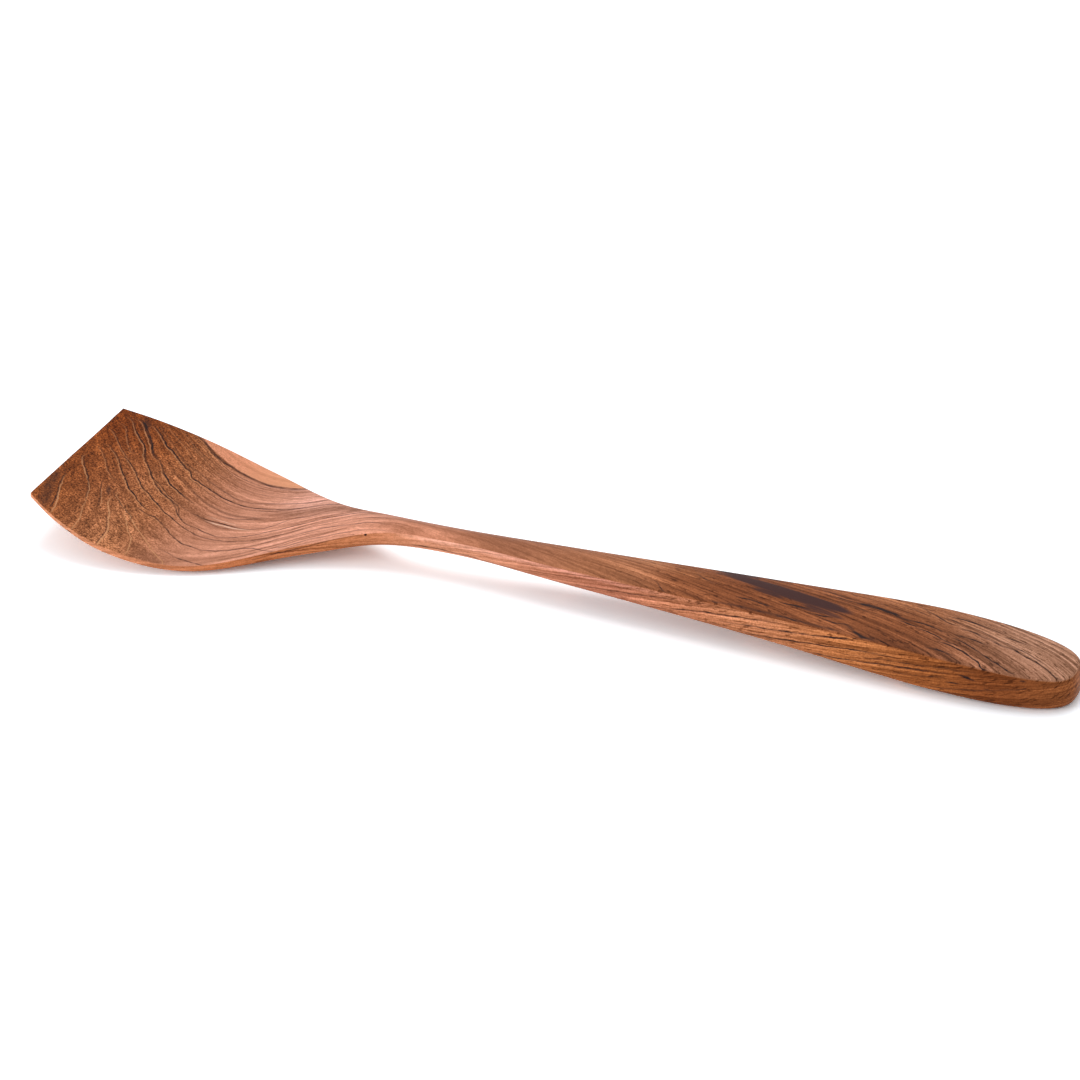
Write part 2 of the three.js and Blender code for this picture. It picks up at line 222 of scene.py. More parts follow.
# The dark lines of the near side of the handle and the neck: half thickness, then (x, height, darkness).
SIDE_LINES = [
    (0.32, [(40, 8.3, 0.3), (46, 9.4, 0.6), (53, 10.5, 0.75), (62, 11.3, 0.7), (72, 12.2, 0.6),
            (80, 12.9, 0.3)]),
    (0.32, [(62, 8.9, 0.4), (70, 9.6, 0.6), (78, 10.2, 0.75), (86, 11.0, 0.75), (94, 11.9, 0.7),
            (100, 12.8, 0.6)]),
    (0.30, [(66, 6.9, 0.3), (74, 6.9, 0.6), (82, 7.5, 0.75), (90, 8.5, 0.75), (98, 9.3, 0.8),
            (107, 10.2, 0.7), (118, 10.8, 0.4)]),
    (0.36, [(92, 5.2, 0.4), (100, 5.6, 0.8), (106, 6.3, 0.9), (113, 7.1, 0.8), (121, 8.0, 0.7),
            (129, 8.7, 0.5), (135, 9.2, 0.3)]),
    (0.26, [(104, 8.0, 0.3), (114, 9.0, 0.5), (124, 9.8, 0.5), (134, 10.6, 0.4), (144, 11.0, 0.3)]),
    (0.28, [(133, 3.4, 0.4), (140, 4.4, 0.6), (150, 6.0, 0.5), (160, 7.8, 0.3)]),
    (0.26, [(118, 5.4, 0.3), (126, 6.2, 0.5), (134, 7.4, 0.4)]),
    (0.26, [(10, 9.5, 0.3), (22, 10.4, 0.5), (34, 11.4, 0.5), (44, 12.4, 0.3)]),
    (0.30, [(-48, 10.6, 0.5), (-43, 10.7, 0.7), (-36, 10.5, 0.6), (-28, 10.2, 0.5),
            (-20, 9.6, 0.3)]),
]

# The ranges of x or of y that the lines of the blade, of its near front and of the handle take.
BLADE_SPAN = (-180, -45)
NEAR_SPAN = (-45, 5)
HANDLE_SPAN = (-70, 180)

# The width of the band in which a line may wander, and how far it fades at its ends.
LINE_REACH = 80.0
LINE_FADE = 3
# Where a line starts to fade across and where it is gone, as shares of its half thickness.
LINE_EDGES = (0.25, 1.25)
# The painted highlight on the lip beside a growth line: its half width, the same shares of that, and its
# strength at the front.
LIP_WIDTH = 0.26
LIP_EDGES = (0.3, 1.2)
LIP_HIGHLIGHT_STRENGTH = 0.55
# How much stronger the lines and streaks on the handle's top are than their tables say.
HANDLE_LINE_STRENGTH = 1.35

# Dark streaks of the blade and of the handle:
# middle along x, ring radius, half length, half thickness, strength and slope.
BLADE_STREAKS = [
    (-165.5, 140.40, 3, 1.50, 0.55, 0.000),
    (-173, 141.50, 5, 3.00, 0.45, 0.000),
    (-158, 130.70, 2, 0.35, 0.60, 0.000),
]
HANDLE_STREAKS = [
    (70, 154.30, 9, 1.60, 0.35, 0.100),
]
# The dark patch on the handle, given in the same way.
PATCH_STREAKS = [
    (75, 149.90, 27, 2.60, 1.00, -0.020),
    (59, 152.60, 9, 1.70, 0.90, 0.100),
    (92, 150.40, 11, 1.50, 0.90, -0.020),
    (72, 147.20, 7, 0.90, 0.80, 0.000),
    (92, 147.50, 9, 0.80, 0.75, 0.020),
    (86, 146.40, 7, 0.35, 0.70, 0.060),
]
# The paler streaks of the handle's top, given in the same way.
HANDLE_PALE_STREAKS = [
    (72, 142.00, 10, 0.45, 0.60, 0.000),
    (73, 145.10, 9, 0.50, 0.55, 0.000),
    (78, 153.40, 14, 1.00, 0.50, -0.020),
    (101, 152.00, 10, 0.50, 0.45, 0.000),
    (106, 153.70, 9, 0.45, 0.35, 0.000),
    (112, 156.20, 8, 0.60, 0.20, 0.000),
    (100, 157.60, 10, 1.00, 0.15, 0.000),
    (130, 160.00, 14, 0.35, 0.40, -0.020),
    (142, 162.20, 15, 0.60, 0.40, 0.020),
    (40, 145.00, 18, 3.40, 1.40, 0.000),
]
# The painted shade in the pit on the near side of the neck, with its height instead of a ring radius.
PIT_SHADE = [
    (-64.7, 12.2, 0.65, 0.60, 1.20, 0.000),
]
# The dark spots on the near side of the handle, given as the pit is.
SIDE_STREAKS = [
    (101, 12.8, 5, 0.50, 0.80, 0.150),
    (105.5, 14.0, 2.5, 0.40, 0.80, 0.000),
    (142.5, 9.0, 3.6, 0.60, 1.20, -0.180),
    (138.5, 6.4, 3.4, 0.36, 0.95, 0.050),
    (159.5, 10.3, 1.6, 0.40, 0.80, 0.000),
    (149, 6.3, 1.6, 0.36, 0.60, 0.000),
]
# The painted highlight along the upper edge of the neck's near side, given as the pit is.
SIDE_HIGHLIGHT_STREAKS = [
    (-22, 13.6, 50, 1.70, 0.75, 0.000),
    (22, 13.2, 34, 1.10, 0.55, 0.000),
]

# The inner share of a streak and of the patch that has its full strength.
STREAK_CORE = 0.2
PATCH_CORE = 0.6
# How far the hairs of the grain push the patch's edge.
PATCH_RAGGED = 1.2

# Where the blade's material ends along x and the handle's starts.
BLADE_END = -54

# Where some colours and tones start to show, along x, across y or by ring radius, and where they are
# full.
FRONT_X = (-118, -150)
NEAR_CORNER_Y = (-2, -30)
FAR_CORNER_X = (-138, -157)
FAR_CORNER_Y = (2, 24)
SHOULDER_X = (-118, -92)
SHOULDER_NECK_X = (-60, -75)
SHOULDER_Y = (2, 14)
NECK_X = (-85, -62)
NECK_HANDLE_X = (-20, -40)
NECK_Y = (4, -5)
NEAR_SIDE_Y = (0.0, -3.0)
SAPWOOD_RING = (149.3, 149.7)
SAPWOOD_TIP_X = (-138, -104)
FAR_END_X = (60, 110)
FAR_END_RING = (153, 163)
BELLY_X = (-125, -100)
HANDLE_X = (-10, 55)
HANDLE_SIDE_X = (-60, 10)
# Where the sapwood and the belly's tone start to fade along x, and where they are gone.
SAPWOOD_END_X = (-100, -70)
BELLY_END_X = (-65, -50)
# How far up a surface faces where the side starts to fade, and where the top is full.
TOP_FACING = (0.45, 0.80)

# The wood's colour along x, from the front edge to the end of the handle: on top, then on the sides
# and below. Both are the wood's own colour mixed with painted light: painted sheen on the blade's belly
# and shoulder, painted shade towards the blade's front, and sides painted lighter than the top, as if
# more lit.
TOP_WOOD_AND_PAINTED_LIGHT = [
    (-175, (0.270, 0.069, 0.015)),
    (-145, (0.375, 0.128, 0.048)),
    (-112, (0.585, 0.254, 0.158)),
    (-95, (0.650, 0.290, 0.191)),
    (-72, (0.592, 0.258, 0.166)),
    (-48, (0.420, 0.165, 0.093)),
    (-20, (0.345, 0.129, 0.064)),
    (25, (0.435, 0.165, 0.075)),
    (44, (0.282, 0.088, 0.031)),
    (62, (0.278, 0.083, 0.028)),
    (118, (0.275, 0.085, 0.029)),
    (160, (0.332, 0.139, 0.073)),
]
SIDE_WOOD_AND_PAINTED_LIGHT = [
    (-175, (0.505, 0.198, 0.096)),
    (-130, (0.480, 0.174, 0.082)),
    (-100, (0.560, 0.180, 0.070)),
    (-72, (0.540, 0.190, 0.080)),
    (-40, (0.620, 0.262, 0.152)),
    (20, (0.490, 0.177, 0.102)),
    (48, (0.525, 0.194, 0.096)),
    (70, (0.630, 0.244, 0.116)),
    (105, (0.540, 0.186, 0.061)),
    (130, (0.362, 0.111, 0.030)),
    (150, (0.270, 0.075, 0.020)),
    (175, (0.385, 0.121, 0.037)),
]
COLOUR_SPAN = (-175, 175)
# The sapwood's colour along the far edge, and at its tip towards the neck.
SAPWOOD_COLOUR = (0.72, 0.288, 0.160)
SAPWOOD_TIP_COLOUR = (0.76, 0.340, 0.188)
# What the colour is multiplied by at the front's near and far corners, and by the painted sheen on the
# far shoulder of the blade.
NEAR_FRONT_TINT = (1.10, 1.17, 1.25)
FAR_FRONT_TINT = (0.78, 0.65, 0.46)
SHOULDER_SHEEN_TINT = (1.04, 1.14, 1.27)
# The same for the painted sheen on the near half of the neck's top and on the far half of the handle's
# end, for the handle's paler streaks, and for the bright band on the neck's side, which is a painted
# highlight.
NECK_SHEEN_TINT = (1.42, 1.46, 1.50)
FAR_END_SHEEN_TINT = (1.46, 1.70, 1.96)
PALE_STREAK_TINT = (1.45, 1.60, 1.70)
SIDE_HIGHLIGHT_TINT = (1.35, 1.56, 1.92)
# The colours of the dark lines and streaks, of the patch, of the pale lines and the painted highlights
# on lips beside the growth lines, and of the painted highlights on the crack's lips.
STREAK_COLOUR = (0.032, 0.014, 0.012)
PATCH_COLOUR = (0.066, 0.026, 0.023)
PALE_LINE_AND_HIGHLIGHT_COLOUR = (0.66, 0.31, 0.145)
CRACK_HIGHLIGHT_COLOUR = (0.88, 0.58, 0.43)

# How fast some noises change along x, y and z, per millimetre, and how far they are shifted.
WAVE_SCALE = (0.05, 0.12, 0.12)
RIPPLE_SCALE = (0.25, 0.8, 0.8)
RIPPLE_SHIFT = (7, 3, 5)
PORE_SCALE = (0.35, 1.5, 2.0)
PORE_SHIFT = (11, 2, 9)
SPECK_SCALE = (1.9, 1.7, 1.7)
# How fast others change along x, from ring to ring and round the rings.
FINE_SCALE = (0.012, 1.2, 0.02)
HAIR_SCALE = (0.035, 2.6, 0.05)
THREAD_SCALE = (0.012, 0.60, 0.012)
FLECK_SCALE = (0.28, 1.7, 0.25)
# How fast the last two change along x and from ring to ring, and where their noise is cut.
BAND_SCALE = (0.008, 0.5)
BAND_SLICE = 4.0
CLOUD_SCALE = (0.035, 0.45)
CLOUD_SLICE = 7.0
# The mean of a noise, and how rough the finer ones are.
NOISE_MEAN = 0.5
FINE_ROUGHNESS = 0.6
# The direction round the rings, as shares of y and z.
ROUND_Y = 0.78
ROUND_Z = 0.62
# How far the wave and the ripple push the rings, and the ripple the heights and the drawn lines.
RING_WAVE = 0.30
RING_RIPPLE = 0.30
HEIGHT_RIPPLE = 0.8
LINE_RIPPLE_X = 0.7
LINE_RIPPLE_Y = 0.6
# How much the grain on the sides rises along x.
SIDE_RISE = 0.095
# The noise where a thread starts to fade and where it is gone, and where a pore starts and is full.
THREAD_EDGES = (0.01, 0.055)
PORE_EDGES = (0.54, 0.70)
# How the flecks break the threads and the drawn lines: two limits of the noise, and the share left at
# each.
THREAD_BREAKS = (0.35, 0.55, 0.25, 1.0)
LINE_BREAKS = (0.32, 0.60, 0.50, 1.40)

# How the grain changes the tone: a noise, two limits of it, the change at each, its strength everywhere,
# and what is added to the strength in some places.
TONES = [
    ("fine", (0.30, 0.70), (-1.0, 1.0), 0.22, {"handle_top": 0.22, "handle_side": 0.16}),
    ("bands", (0.30, 0.70), (-1.0, 1.0), 0.12, {}),
    ("clouds", (0.30, 0.70), (-1.0, 1.0), 0.0, {"handle_top": 0.30}),
    ("hairs", (0.56, 0.72), (0.0, -1.0), 0.28, {"handle_top": 0.42, "handle_side": 0.35}),
    ("hairs", (0.44, 0.28), (0.0, 1.0), 0.16, {"handle_top": 0.14, "handle_side": 0.18}),
    ("threads", (0.0, 1.0), (0.0, -1.0), 0.12, {"belly": 0.38, "handle_top": 0.06, "handle_side": 0.28}),
    ("flecks", (0.32, 0.68), (-1.0, 1.0), 0.14, {"front": 0.18}),
    ("flecks", (0.57, 0.66), (0.0, -1.0), 0.0, {"handle": 0.65}),
    ("specks", (0.30, 0.70), (-1.0, 1.0), 0.10, {"front": 0.60, "handle": 0.08}),
    ("pore", (0.0, 1.0), (0.15, -1.0), 0.16, {"front": 0.40}),
]
# The share of those changes that the sapwood shows.
SAPWOOD_TONE = 0.40
# The powers of the tone in green and in blue: dark wood is redder, and pale wood is greyer.
TONE_POWER_GREEN = 1.15
TONE_POWER_BLUE = 1.35

# The fine relief: shares of the noises in it, its strength and its depth. Then the finish.
FLECK_RELIEF = 0.35
FINE_RELIEF = 0.25
PORE_RELIEF = -0.35
BUMP_STRENGTH = 0.35
BUMP_DEPTH = 0.12
ROUGHNESS = 0.45
SPECULAR = 0.06


def wood_mesh(node):
    """The CAD node's surface as quads, ready to be subdivided."""
    bm = bmesh.new()
    bm.from_mesh(node.data)
    bm.transform(node.matrix_world)
    bmesh.ops.remove_doubles(bm, verts=bm.verts, dist=WELD)
    bmesh.ops.join_triangles(
        bm,
        faces=bm.faces,
        angle_face_threshold=math.radians(JOIN_FACE_ANGLE),
        angle_shape_threshold=math.radians(JOIN_SHAPE_ANGLE),
    )
    front = min(v.co.x for v in bm.verts)
    crease = bm.edges.layers.float.new("crease_edge")
    for edge in bm.edges:
        at_front = [abs(v.co.x - front) < WELD for v in edge.verts]
        if all(at_front):
            edge[crease] = FRONT_CREASE
    for face in bm.faces:
        face.smooth = True
    mesh = bpy.data.meshes.new("carved_spatula")
    bm.to_mesh(mesh)
    bm.free()
    return mesh


class Graph:
    """Builds a material's nodes from short expressions."""

    def __init__(self, tree):
        self.tree = tree

    def node(self, kind, **settings):
        made = self.tree.nodes.new(kind)
        for name, value in settings.items():
            setattr(made, name, value)
        return made

    def put(self, socket, value):
        """Links a socket to another one, or sets it to a constant."""
        if isinstance(value, bpy.types.NodeSocket):
            self.tree.links.new(value, socket)
        else:
            socket.default_value = value

    def math(self, operation, a, b=0.0, c=0.0, clamp=False):
        made = self.node("ShaderNodeMath", operation=operation, use_clamp=clamp)
        for socket, value in zip(made.inputs, (a, b, c)):
            self.put(socket, value)
        return made.outputs[0]

    def add(self, a, b):
        return self.math("ADD", a, b)

    def mul(self, a, b):
        return self.math("MULTIPLY", a, b)

    def vector(self, x, y, z):
        made = self.node("ShaderNodeCombineXYZ")
        for socket, value in zip(made.inputs, (x, y, z)):
            self.put(socket, value)
        return made.outputs[0]

    def scaled(self, values, scale, *rest):
        """A vector of some values, each times its scale, and the rest as it is."""
        parts = [self.mul(value, share) for value, share in zip(values, scale)]
        return self.vector(*parts, *rest)

    def stretch(self, vector, scale, shift=(0, 0, 0)):
        """A vector times a constant scale, plus a constant shift."""
        made = self.node("ShaderNodeVectorMath", operation="MULTIPLY_ADD")
        self.put(made.inputs[0], vector)
        made.inputs[1].default_value = scale
        made.inputs[2].default_value = shift
        return made.outputs[0]

    def length(self, vector):
        made = self.node("ShaderNodeVectorMath", operation="LENGTH")
        self.put(made.inputs[0], vector)
        return made.outputs["Value"]

    def noise(self, vector, detail, roughness=0.5):
        made = self.node("ShaderNodeTexNoise", noise_dimensions="3D")
        self.put(made.inputs["Vector"], vector)
        made.inputs["Scale"].default_value = 1.0
        made.inputs["Detail"].default_value = detail
        made.inputs["Roughness"].default_value = roughness
        return made.outputs["Fac"]

    def remap(self, value, low, high, to_low=0.0, to_high=1.0, smooth=False):
        """Takes low to to_low and high to to_high, and nothing past them."""
        made = self.node("ShaderNodeMapRange", clamp=True)
        made.interpolation_type = "SMOOTHSTEP" if smooth else "LINEAR"
        self.put(made.inputs["Value"], value)
        made.inputs["From Min"].default_value = low
        made.inputs["From Max"].default_value = high
        made.inputs["To Min"].default_value = to_low
        made.inputs["To Max"].default_value = to_high
        return made.outputs["Result"]

    def ramp(self, value, low, high, stops):
        """The colour at a value, from stops of (value, colour) between low and high."""
        made = self.node("ShaderNodeValToRGB")
        self.put(made.inputs["Fac"], self.remap(value, low, high))
        band = made.color_ramp
        band.interpolation = "EASE"
        while len(band.elements) < len(stops):
            band.elements.new(1.0)
        for element, (place, colour) in zip(band.elements, stops):
            element.position = (place - low) / (high - low)
            element.color = (*colour, 1.0)
        return made.outputs["Color"]

    def mix(self, share, a, b, blend="MIX"):
        made = self.node("ShaderNodeMix", data_type="RGBA", blend_type=blend)
        self.put(made.inputs["Factor"], share)
        for name, value in (("A", a), ("B", b)):
            socket = next(s for s in made.inputs if s.name == name and s.type == "RGBA")
            self.put(socket, value if isinstance(value, bpy.types.NodeSocket) else (*value, 1.0))
        return next(s for s in made.outputs if s.type == "RGBA")


def bent(g, x, shares):
    """constant + share * x + share * x * x"""
    constant, slope, curve = shares
    return g.add(g.mul(g.add(g.mul(x, curve), slope), x), constant)


def swing(g, x):
    """GRAIN_SWING as a smooth curve over x."""
    low = GRAIN_SWING[0][0]
    high = GRAIN_SWING[-1][0]
    made = g.node("ShaderNodeFloatCurve")
    curve = made.mapping.curves[0]
    made.mapping.extend = "HORIZONTAL"
    while len(curve.points) < len(GRAIN_SWING):
        curve.points.new(0.5, 0.5)
    for point, (place, amount) in zip(curve.points, GRAIN_SWING):
        share = (amount - SWING_LOW) / (SWING_HIGH - SWING_LOW)
        point.location = ((place - low) / (high - low), share)
    made.mapping.update()
    g.put(made.inputs["Value"], g.remap(x, low, high))
    return g.remap(made.outputs["Value"], 0.0, 1.0, SWING_LOW, SWING_HIGH)


def line_sum(g, along, across, lines, span, with_highlights=False):
    """How strong some lines are at a place, and the painted highlights on the lips beside them.

    span is the range along the lines. Each line wanders across as its points say.
    """
    low, high = span
    along = g.remap(along, low, high)
    line_inner, line_outer = LINE_EDGES
    lip_inner, lip_outer = LIP_EDGES
    total = 0.0
    lip_highlights = 0.0
    for half_width, points in lines:
        middle = points[len(points) // 2][1]
        before = (points[0][0] - LINE_FADE, points[0][1], 0.0)
        after = (points[-1][0] + LINE_FADE, points[-1][1], 0.0)
        stops = [before, *points, after]
        made = g.node("ShaderNodeValToRGB")
        g.put(made.inputs["Fac"], along)
        band = made.color_ramp
        band.interpolation = "CARDINAL"
        while len(band.elements) < len(stops):
            band.elements.new(1.0)
        # red holds the place across, green the strength, and blue what keeps a slanting line as thick
        for number, (place, aside, strength) in enumerate(stops):
            first = stops[max(number - 1, 0)]
            last = stops[min(number + 1, len(stops) - 1)]
            slant = math.cos(math.atan2(last[1] - first[1], last[0] - first[0]))
            element = band.elements[number]
            element.position = (place - low) / (high - low)
            element.color = ((aside - middle) / LINE_REACH + 0.5, strength, slant, 1.0)
        split = g.node("ShaderNodeSeparateColor")
        g.put(split.inputs["Color"], made.outputs["Color"])
        path = g.math("MULTIPLY_ADD", split.outputs["Red"], -LINE_REACH, LINE_REACH / 2 - middle)
        offset = g.mul(g.add(across, path), split.outputs["Blue"])
        away = g.math("ABSOLUTE", offset)
        inside = g.remap(away, line_inner * half_width, line_outer * half_width, 1.0, 0.0, smooth=True)
        total = g.math("MULTIPLY_ADD", inside, split.outputs["Green"], total)
        if with_highlights:
            beside = g.math("ABSOLUTE", g.add(offset, half_width + LIP_WIDTH))
            lip = g.remap(beside, lip_inner * LIP_WIDTH, lip_outer * LIP_WIDTH, 1.0, 0.0, smooth=True)
            lip_highlights = g.math("MULTIPLY_ADD", lip, split.outputs["Green"], lip_highlights)
    return total, lip_highlights


def streak_sum(g, x, across, streaks, core=STREAK_CORE):
    """How strong some streaks are at a place.

    across is the place's ring radius or its height, as the streaks' table has it.
    """
    total = 0.0
    for lean in sorted({slope for *_, slope in streaks}):
        place = g.vector(x, g.math("SUBTRACT", across, g.mul(x, lean)), 0.0)
        for middle, level, half_length, half_width, strength, slope in streaks:
            if slope != lean:
                continue
            scale = (1 / half_length, 1 / half_width, 0)
            shift = (-middle / half_length, -(level - slope * middle) / half_width, 0)
            away = g.length(g.stretch(place, scale, shift))
            total = g.add(total, g.remap(away, core, 1.0, strength, 0.0, smooth=True))
    return total


def wood_grain(g):
    """Where a point lies in the wood, in millimetres, and the noises that follow the grain there."""
    point = g.stretch(g.node("ShaderNodeTexCoord").outputs["Object"], (1 / MM, 1 / MM, 1 / MM))
    split = g.node("ShaderNodeSeparateXYZ")
    g.put(split.inputs[0], point)
    x, y, z = split.outputs

    # side is 1 on the sides and below and 0 on top, and top is the rest
    facing = g.node("ShaderNodeSeparateXYZ")
    normal = g.node("ShaderNodeNewGeometry").outputs["Normal"]
    g.put(facing.inputs[0], normal)
    side = g.remap(facing.outputs["Z"], *TOP_FACING, 1.0, 0.0, smooth=True)
    top = g.math("SUBTRACT", 1.0, side)

    # the growth ring that each point lies on, a little wavy, and the way round the ring
    wave = g.noise(g.stretch(point, WAVE_SCALE), detail=2)
    ripple = g.add(g.noise(g.stretch(point, RIPPLE_SCALE, RIPPLE_SHIFT), detail=2), -NOISE_MEAN)
    across = g.math("SUBTRACT", y, bent(g, x, PITH_Y))
    above = g.math("SUBTRACT", z, bent(g, x, PITH_Z))
    ring = g.math("SQRT", g.add(g.mul(across, across), g.mul(above, above)))
    ring = g.math("SUBTRACT", ring, swing(g, x))
    ring = g.add(ring, g.mul(g.add(wave, -NOISE_MEAN), RING_WAVE))
    ring = g.add(ring, g.mul(ripple, RING_RIPPLE))
    around = g.add(g.mul(across, ROUND_Y), g.mul(above, ROUND_Z))

    # on the sides the grain runs almost along the spatula
    height = g.add(z, g.mul(ripple, HEIGHT_RIPPLE))
    low_line = g.math("MULTIPLY_ADD", x, -SIDE_RISE, height)
    layer = g.add(g.mul(ring, top), g.mul(low_line, side))

    # fine lines, bands, clouds and threads follow the rings, and hairs and flecks are shorter lines
    place = (x, layer, around)
    fine = g.noise(g.scaled(place, FINE_SCALE), detail=2, roughness=FINE_ROUGHNESS)
    bands = g.noise(g.scaled((x, layer), BAND_SCALE, BAND_SLICE), detail=1)
    clouds = g.noise(g.scaled((x, ring), CLOUD_SCALE, CLOUD_SLICE), detail=2)
    hairs = g.noise(g.scaled(place, HAIR_SCALE), detail=2, roughness=FINE_ROUGHNESS)
    thread = g.noise(g.scaled(place, THREAD_SCALE), detail=1)
    thread = g.math("ABSOLUTE", g.add(thread, -NOISE_MEAN))
    threads = g.remap(thread, *THREAD_EDGES, 1.0, 0.0, smooth=True)
    flecks = g.noise(g.scaled((x, ring, around), FLECK_SCALE), detail=2, roughness=FINE_ROUGHNESS)

    # pores: long hairs on the flat, grains where the surface cuts across the wood
    pores = g.stretch(g.vector(x, across, z), PORE_SCALE, PORE_SHIFT)
    pores = g.noise(pores, detail=2, roughness=FINE_ROUGHNESS)

    return SimpleNamespace(
        x=x,
        y=y,
        side=side,
        near_side=g.mul(g.remap(y, *NEAR_SIDE_Y), side),
        top=top,
        ring=ring,
        height=height,
        wavy_x=g.math("MULTIPLY_ADD", ripple, LINE_RIPPLE_X, x),
        wavy_y=g.math("MULTIPLY_ADD", ripple, LINE_RIPPLE_Y, y),
        fine=fine,
        bands=bands,
        clouds=clouds,
        hairs=hairs,
        threads=g.mul(threads, g.remap(flecks, *THREAD_BREAKS)),
        flecks=flecks,
        pore=g.remap(pores, *PORE_EDGES),
        specks=g.noise(g.stretch(point, SPECK_SCALE), detail=1),
        broken=g.remap(flecks, *LINE_BREAKS),
    )


def tinted(g, colour, tints):
    """The colour multiplied by each tint, where that tint's share of the place says so."""
    for share, tint in tints:
        colour = g.mix(share, colour, g.mix(1.0, colour, tint, blend="MULTIPLY"))
    return colour


def plain_colour(g, wood):
    """The wood's colour along x with its painted light, and the painted sheen on the near half of the
    neck's top.
    """
    top_wood_and_light = g.ramp(wood.x, *COLOUR_SPAN, TOP_WOOD_AND_PAINTED_LIGHT)
    side_wood_and_light = g.ramp(wood.x, *COLOUR_SPAN, SIDE_WOOD_AND_PAINTED_LIGHT)
    # the sides and underside take a lighter colour of their own: painted light, as if more lit than the
    # top
    colour = g.mix(wood.side, top_wood_and_light, side_wood_and_light)
    # painted sheen: the near half of the neck's top is made brighter and greyer
    neck = g.mul(g.remap(wood.x, *NECK_X), g.remap(wood.x, *NECK_HANDLE_X))
    near_neck = g.mul(neck, g.remap(wood.y, *NECK_Y))
    return tinted(g, colour, [(g.mul(near_neck, wood.top), NECK_SHEEN_TINT)])


def blade_colour(g, wood):
    """The blade's colour with painted sheen on its far shoulder, and how strongly it varies: the sapwood
    is plain.
    """
    near = g.mul(g.remap(wood.x, *FRONT_X, smooth=True), g.remap(wood.y, *NEAR_CORNER_Y, smooth=True))
    far = g.mul(g.remap(wood.x, *FAR_CORNER_X, smooth=True), g.remap(wood.y, *FAR_CORNER_Y, smooth=True))
    # painted sheen: the blade's far shoulder is made brighter and greyer
    shoulder_sheen = g.mul(
        g.remap(wood.x, *SHOULDER_X, smooth=True),
        g.remap(wood.x, *SHOULDER_NECK_X, smooth=True),
    )
    shoulder_sheen = g.mul(shoulder_sheen, g.remap(wood.y, *SHOULDER_Y, smooth=True))
    tints = [(near, NEAR_FRONT_TINT), (far, FAR_FRONT_TINT), (shoulder_sheen, SHOULDER_SHEEN_TINT)]
    colour = tinted(g, plain_colour(g, wood), tints)
    sap = g.mul(
        g.remap(wood.ring, *SAPWOOD_RING, smooth=True),
        g.remap(wood.x, *SAPWOOD_END_X, 1.0, 0.0, smooth=True),
    )
    sapwood = g.mix(g.remap(wood.x, *SAPWOOD_TIP_X, smooth=True), SAPWOOD_COLOUR, SAPWOOD_TIP_COLOUR)
    return g.mix(sap, colour, sapwood), g.remap(sap, 0.0, 1.0, 1.0, SAPWOOD_TONE)


def handle_colour(g, wood):
    """The handle's colour, with painted sheen on its far end and a painted highlight along the neck's
    side, and how strongly it varies.
    """
    # painted sheen: the far half of the handle's end is made brighter and greyer
    far = g.mul(g.remap(wood.x, *FAR_END_X, smooth=True), g.remap(wood.ring, *FAR_END_RING, smooth=True))
    pale = streak_sum(g, wood.x, wood.ring, HANDLE_PALE_STREAKS)
    # painted highlight along the upper edge of the neck's near side
    band = streak_sum(g, wood.x, wood.height, SIDE_HIGHLIGHT_STREAKS)
    tints = [
        (g.mul(far, wood.top), FAR_END_SHEEN_TINT),
        (g.mul(pale, wood.top), PALE_STREAK_TINT),
        (g.mul(band, wood.near_side), SIDE_HIGHLIGHT_TINT),
    ]
    return tinted(g, plain_colour(g, wood), tints), 1.0


def blade_marks(g, wood):
    """The layers of marks on the blade: how strong each is, and its colour."""
    dark, lip_highlights = line_sum(g, wood.wavy_x, wood.wavy_y, BLADE_LINES, BLADE_SPAN, with_highlights=True)
    near_dark, _ = line_sum(g, wood.wavy_y, wood.wavy_x, NEAR_DARK_LINES, NEAR_SPAN)
    dark = g.mul(g.add(dark, near_dark), wood.top)
    dark = g.add(dark, streak_sum(g, wood.x, wood.ring, BLADE_STREAKS))
    side_dark, _ = line_sum(g, wood.wavy_x, wood.height, BLADE_SIDE_LINES, BLADE_SPAN)
    # painted shade in the pit on the near side of the neck
    side_dark = g.add(side_dark, streak_sum(g, wood.x, wood.height, PIT_SHADE))
    dark = g.math("MULTIPLY_ADD", side_dark, wood.near_side, dark)
    # painted highlights on the lips of the crack
    crack_highlight, _ = line_sum(g, wood.wavy_x, wood.wavy_y, CRACK_HIGHLIGHTS, BLADE_SPAN)
    near_pale, _ = line_sum(g, wood.wavy_y, wood.wavy_x, NEAR_PALE_LINES, NEAR_SPAN)
    # pale grain lines of the near front, and painted highlights on the lips beside the growth lines,
    # strongest at the front
    front = g.remap(wood.x, *FRONT_X, 0.0, LIP_HIGHLIGHT_STRENGTH, smooth=True)
    pale = g.math("MULTIPLY_ADD", lip_highlights, front, g.mul(near_pale, wood.top), clamp=True)
    return [
        (pale, PALE_LINE_AND_HIGHLIGHT_COLOUR),
        (g.math("MULTIPLY", dark, wood.broken, clamp=True), STREAK_COLOUR),
        (g.math("MULTIPLY", crack_highlight, wood.top, clamp=True), CRACK_HIGHLIGHT_COLOUR),
    ]


